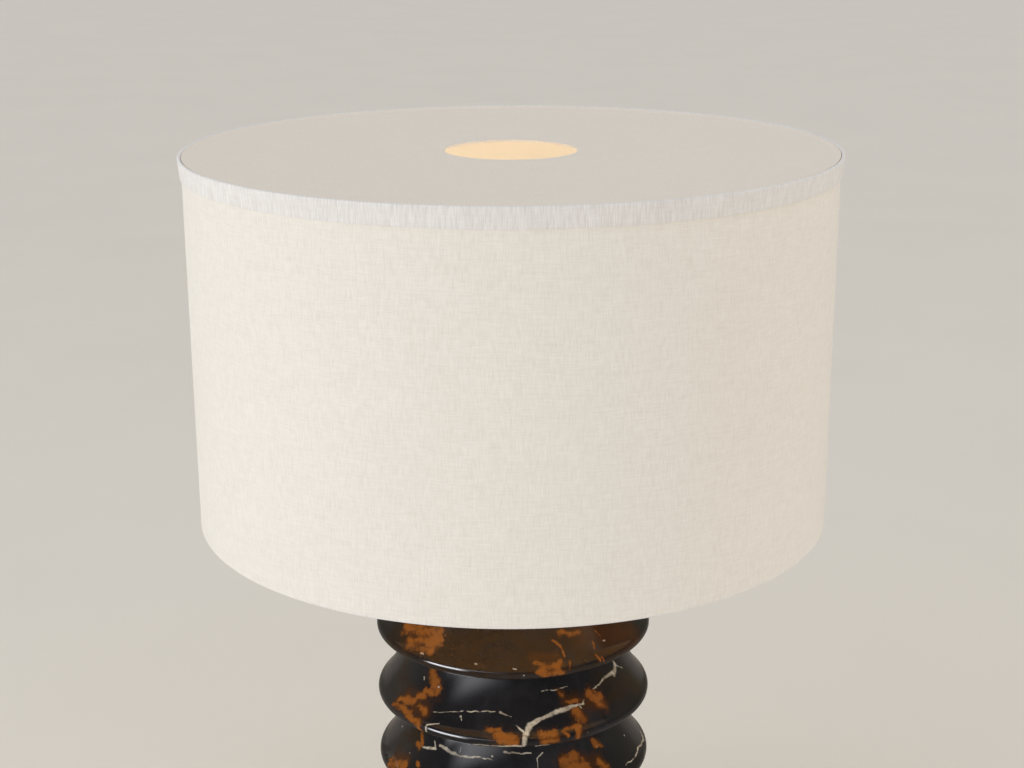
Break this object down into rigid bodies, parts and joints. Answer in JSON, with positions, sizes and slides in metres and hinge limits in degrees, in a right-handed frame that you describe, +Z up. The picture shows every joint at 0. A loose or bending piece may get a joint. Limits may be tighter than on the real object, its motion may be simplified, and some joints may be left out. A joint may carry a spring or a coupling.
{
  "type": "table lamp",
  "caption": "Table lamp with a turned column of bell-shaped marble rings and a straight linen drum shade on a harp, with a linen top diffuser.",
  "frame": {"origin": "centre of the felt's underside, on the surface that the lamp stands on", "axes": "+Z up along the column's axis, -Y towards the front, +Y towards the cord inlet at the back"},
  "size_m": [0.4617, 0.4618, 0.6339],
  "materials": {
    "marble": "polished, with rust patches and pale veins",
    "felt": "dense felt",
    "steel": "zinc plated",
    "black_rubber": "moulded",
    "brass": "satin",
    "brass_plate": "brass plated steel",
    "fibre": "pressed fibre",
    "phenolic": "moulded, satin",
    "aluminium": "rolled thread",
    "white_plastic": "satin",
    "light_board": "white coated",
    "opal": "frosted, lit",
    "white_wire": "white enamel",
    "styrene": "smooth white",
    "linen": "woven linen",
    "linen_trim": "folded linen",
    "linen_diffuser": "woven linen"
  },
  "bodies": {
    "base": {"marble_column": "marble", "felt_pad": "felt", "base_plate": "steel", "pipe_washer": "steel", "pipe_nut": "steel", "threaded_pipe": "steel", "cord_grommet": "black_rubber", "top_cap": "brass", "neck": "brass", "harp_saddle": "brass_plate", "harp": "brass_plate", "shade_stud": "brass", "socket_cap": "brass", "socket_set_screw": "steel", "socket_shell": "brass", "socket_sleeve": "fibre", "socket_body": "phenolic", "terminal_screws": "brass", "screw_shell": "aluminium", "center_contact": "brass"},
    "shade": {"shade_top_ring": "white_wire", "shade_bottom_ring": "white_wire", "spider_hub": "brass_plate", "spider_arms": "brass_plate", "shade_liner": "styrene", "shade_linen": "linen", "shade_top_band": "linen_trim", "shade_bottom_hem": "linen_trim", "diffuser_panel": "styrene", "diffuser_linen": "linen_diffuser"},
    "finial": {"finial": "brass"},
    "switch": {"switch_shaft": "steel", "switch_knob": "phenolic"},
    "bulb": {"bulb_contact": "aluminium", "bulb_insulator": "phenolic", "bulb_cap": "aluminium", "bulb_housing": "white_plastic", "bulb_light_board": "light_board", "bulb_globe": "opal"},
    "ferrule_left": {"harp_ferrule_left": "brass_plate"},
    "ferrule_right": {"harp_ferrule_right": "brass_plate"}
  },
  "joints": [
    {"name": "shade_turn", "type": "hinge", "parent": "base", "child": "shade", "pos_m": [0, 0, 0.5895], "axis": [0, 0, 1], "continuous": true},
    {"name": "finial_turn", "type": "hinge", "parent": "base", "child": "finial", "pos_m": [0, 0, 0.5927], "axis": [0, 0, 1], "continuous": true},
    {"name": "switch_turn", "type": "hinge", "parent": "base", "child": "switch", "pos_m": [0, -0.02, 0.4105], "axis": [0, -1, 0], "continuous": true},
    {"name": "bulb_turn", "type": "hinge", "parent": "base", "child": "bulb", "pos_m": [0, 0, 0.4405], "axis": [0, 0, 1], "continuous": true},
    {"name": "ferrule_left_slide", "type": "slide", "parent": "base", "child": "ferrule_left", "axis": [0, 0, 1], "range_m": [0, 0.0125]},
    {"name": "ferrule_right_slide", "type": "slide", "parent": "base", "child": "ferrule_right", "axis": [0, 0, 1], "range_m": [0, 0.0125]}
  ]
}
